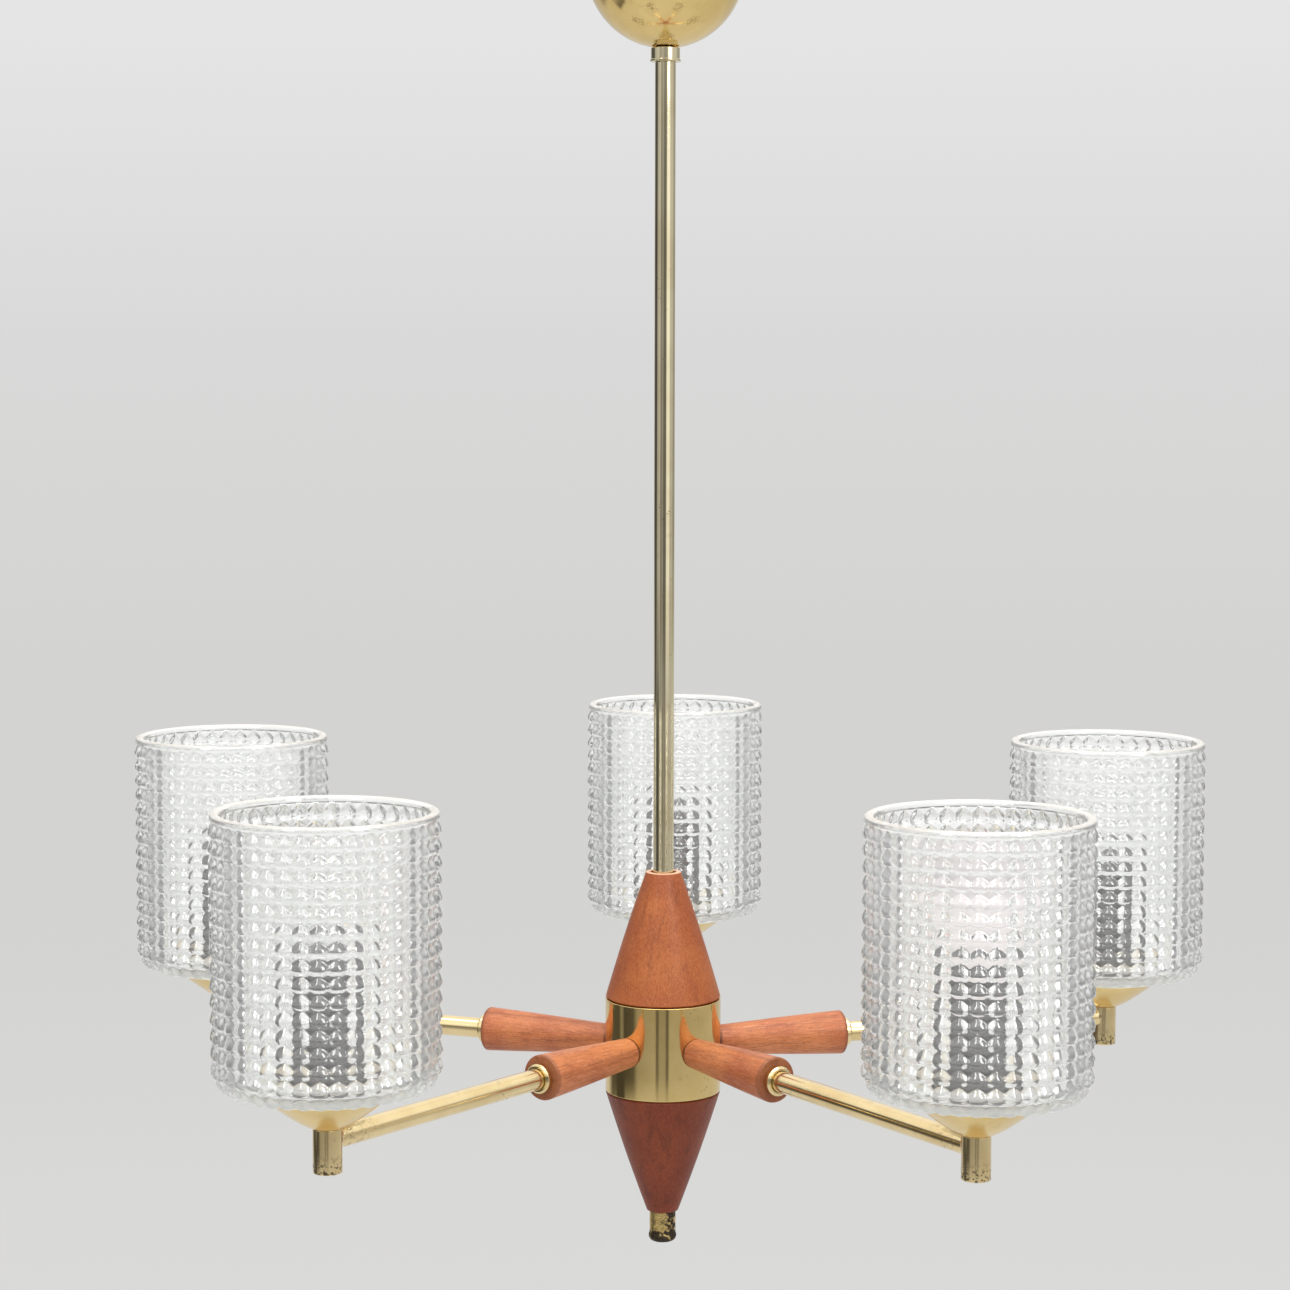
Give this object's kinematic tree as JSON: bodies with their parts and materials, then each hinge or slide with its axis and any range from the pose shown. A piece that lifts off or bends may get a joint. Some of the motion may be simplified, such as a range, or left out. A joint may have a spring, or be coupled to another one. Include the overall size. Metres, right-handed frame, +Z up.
{
  "type": "multi arm chandelier",
  "caption": "Pendant chandelier: level brass arms from a brass hub between teak cones, upright pressed-glass cylinder shades, slim stem and ball canopy.",
  "frame": {"origin": "the point where the ceiling hook bears on the inside of the stirrup's arch", "axes": "+Z up to the ceiling, along the stem; one arm points along +Y"},
  "size_m": [0.546, 0.5242, 0.6465],
  "materials": {
    "brass": "polished, clear-lacquered, warm pale gold, small dark pits near the ends",
    "aged_brass": "dull brown-black patina over brass",
    "zinced_steel": "bright zinc",
    "teak": "oiled, reddish-orange, fine darker grain",
    "pressed_glass": "clear pressed glass, gloss",
    "bakelite": "near-black moulded bakelite",
    "opal_glass": "white opal, satin",
    "cable_sheath": "off-white sheath",
    "block_plastic": "white moulded plastic"
  },
  "bodies": {
    "frame": {"hanger_stirrup": "zinced_steel", "hanger_nut_upper": "zinced_steel", "hanger_nut_lower": "zinced_steel", "terminal_block": "block_plastic", "supply_cable": "cable_sheath", "stem_tube": "brass", "hub_drum": "brass", "hub_coupler": "aged_brass", "splice_block": "block_plastic", "tie_rod": "zinced_steel", "lower_cone": "teak", "finial": "aged_brass", "arm_1": "brass", "sleeve_1": "teak", "ferrule_1": "brass", "arm_lead_1": "cable_sheath", "cup_1": "brass", "glass_shade_1": "pressed_glass", "lampholder_1": "bakelite", "shade_ring_1": "bakelite", "arm_2": "brass", "sleeve_2": "teak", "ferrule_2": "brass", "arm_lead_2": "cable_sheath", "cup_2": "brass", "glass_shade_2": "pressed_glass", "lampholder_2": "bakelite", "shade_ring_2": "bakelite", "arm_3": "brass", "sleeve_3": "teak", "ferrule_3": "brass", "arm_lead_3": "cable_sheath", "cup_3": "brass", "glass_shade_3": "pressed_glass", "lampholder_3": "bakelite", "shade_ring_3": "bakelite", "arm_4": "brass", "sleeve_4": "teak", "ferrule_4": "brass", "arm_lead_4": "cable_sheath", "cup_4": "brass", "glass_shade_4": "pressed_glass", "lampholder_4": "bakelite", "shade_ring_4": "bakelite", "arm_5": "brass", "sleeve_5": "teak", "ferrule_5": "brass", "arm_lead_5": "cable_sheath", "cup_5": "brass", "glass_shade_5": "pressed_glass", "lampholder_5": "bakelite", "shade_ring_5": "bakelite"},
    "canopy_set": {"canopy": "brass", "canopy_collar": "brass", "collar_screw": "aged_brass"},
    "upper_cone": {"upper_cone": "teak"},
    "bulb_contact": {"bulb_contact": "zinced_steel"},
    "bulb": {"bulb_cap": "zinced_steel", "bulb_glass": "opal_glass"}
  },
  "joints": [
    {"name": "canopy_slide", "type": "slide", "parent": "frame", "child": "canopy_set", "axis": [0, 0, 1], "range_m": [-0.3, 0]},
    {"name": "upper_cone_lift", "type": "slide", "parent": "frame", "child": "upper_cone", "axis": [0, 0, 1], "range_m": [0, 0.06]},
    {"name": "bulb_rise", "type": "slide", "parent": "frame", "child": "bulb_contact", "axis": [0, 0, 1], "range_m": [0, 0.0099]},
    {"name": "bulb_turn", "type": "hinge", "parent": "bulb_contact", "child": "bulb", "pos_m": [0.13842, -0.19052, -0.47158], "axis": [0, 0, 1], "range_deg": [0, 1260]}
  ],
  "couplings": [
    {"joint": "bulb_rise", "follows": "bulb_turn", "m_per_rad": 0.00044882}
  ]
}
